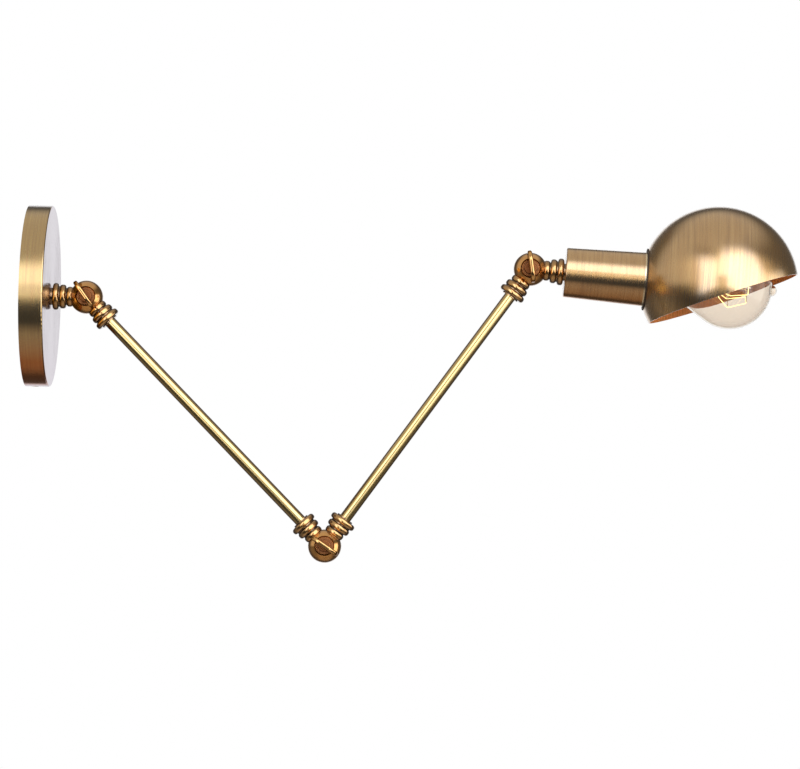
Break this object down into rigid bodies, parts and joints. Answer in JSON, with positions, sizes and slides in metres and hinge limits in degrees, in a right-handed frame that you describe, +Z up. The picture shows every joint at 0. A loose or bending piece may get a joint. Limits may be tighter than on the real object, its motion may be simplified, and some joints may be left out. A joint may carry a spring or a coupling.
{
  "type": "extendable wall lamp",
  "caption": "Aged brass wall lamp: round canopy, tube arms on ball swivels with thumbscrews, and a cut-globe shade on a tapered socket cup with a clear globe bulb.",
  "frame": {"origin": "centre of the canopy's back plane, on the wall", "axes": "+X out from the wall, +Z up; the swivels turn about Y and the thumbscrews face -Y"},
  "size_m": [0.5389, 0.127, 0.2557],
  "materials": {
    "aged_brass": "brushed, lacquered, darkened",
    "cast_brass": "turned casting, darkened and lacquered",
    "tube_brass": "drawn tube, brushed along its length",
    "bright_brass": "plain brass",
    "zinc_steel": "zinc plated",
    "black_steel": "black oxide",
    "green_steel": "green passivated",
    "black_fibre": "vulcanised fibre",
    "black_phenolic": "moulded phenolic",
    "white_plastic": "moulded nylon",
    "lead_insulation": "extruded insulation",
    "earth_insulation": "extruded insulation",
    "solder": "tin solder",
    "black_glass": "black vitrite",
    "clear_glass": "clear, faintly warm",
    "mount_glass": "clear lead glass",
    "support_wire": "drawn wire",
    "filament_wire": "carbonised wire seen bright"
  },
  "bodies": {
    "base": {"canopy": "aged_brass", "wall_bracket": "zinc_steel", "canopy_grub_screws": "black_steel", "base_nipple": "zinc_steel", "base_washer": "zinc_steel", "base_nut": "zinc_steel", "terminal_block": "white_plastic", "terminal_screws": "zinc_steel", "block_screw": "zinc_steel", "earth_ring": "bright_brass", "earth_screw": "green_steel", "earth_lead": "earth_insulation", "base_leads": "lead_insulation", "base_knuckle": "cast_brass", "shoulder_friction_ring": "black_fibre", "shoulder_spring_washer": "zinc_steel"},
    "lower_arm": {"lower_arm_shoulder_half": "cast_brass", "lower_arm_elbow_half": "cast_brass", "lower_arm_tube": "tube_brass", "lower_arm_leads": "lead_insulation"},
    "upper_arm": {"upper_arm_elbow_half": "cast_brass", "upper_arm_head_half": "cast_brass", "upper_arm_tube": "tube_brass", "upper_arm_leads": "lead_insulation", "elbow_friction_ring": "black_fibre", "elbow_spring_washer": "zinc_steel"},
    "lamp_head": {"head_knuckle": "cast_brass", "head_friction_ring": "black_fibre", "head_spring_washer": "zinc_steel", "head_nipple": "zinc_steel", "head_washer": "zinc_steel", "head_nut": "zinc_steel", "socket_cup": "aged_brass", "socket_cap": "black_phenolic", "socket_body": "black_phenolic", "socket_terminal_screws": "bright_brass", "socket_shell": "bright_brass", "socket_contact": "bright_brass", "head_leads": "lead_insulation", "shade_seat_ring": "bright_brass", "shade_gasket": "black_fibre", "shade_ring_nut": "black_phenolic", "bulb_contact": "solder", "bulb_insulator": "black_glass", "bulb_cap": "bright_brass", "bulb_glass": "clear_glass", "bulb_mount": "mount_glass", "bulb_supports": "support_wire", "bulb_filament": "filament_wire"},
    "shade_shell": {"shade": "aged_brass"},
    "shoulder_screw": {"shoulder_thumbscrew": "cast_brass"},
    "elbow_screw": {"elbow_thumbscrew": "cast_brass"},
    "head_screw": {"head_thumbscrew": "cast_brass"}
  },
  "joints": [
    {"name": "shoulder_swivel", "type": "hinge", "parent": "base", "child": "lower_arm", "pos_m": [0.0408, 0, 0], "axis": [0, -1, 0], "range_deg": [-45, 134.9]},
    {"name": "elbow_swivel", "type": "hinge", "parent": "lower_arm", "child": "upper_arm", "pos_m": [0.21194, 0, -0.17054], "axis": [0, -1, 0], "range_deg": [-203, 4]},
    {"name": "head_swivel", "type": "hinge", "parent": "upper_arm", "child": "lamp_head", "pos_m": [0.35154, 0, 0.02664], "axis": [0, -1, 0], "range_deg": [-45, 162]},
    {"name": "shade_turn", "type": "hinge", "parent": "lamp_head", "child": "shade_shell", "pos_m": [0.35154, 0, 0.02664], "axis": [0.9978, 0, -0.0663], "range_deg": [-90, 90]},
    {"name": "shoulder_thumbscrew_turn", "type": "hinge", "parent": "lower_arm", "child": "shoulder_screw", "pos_m": [0.0408, 0, 0], "axis": [0, -1, 0], "range_deg": [0, 270]},
    {"name": "elbow_thumbscrew_turn", "type": "hinge", "parent": "lower_arm", "child": "elbow_screw", "pos_m": [0.21194, 0, -0.17054], "axis": [0, -1, 0], "range_deg": [0, 270]},
    {"name": "head_thumbscrew_turn", "type": "hinge", "parent": "upper_arm", "child": "head_screw", "pos_m": [0.35154, 0, 0.02664], "axis": [0, -1, 0], "range_deg": [0, 270]}
  ]
}
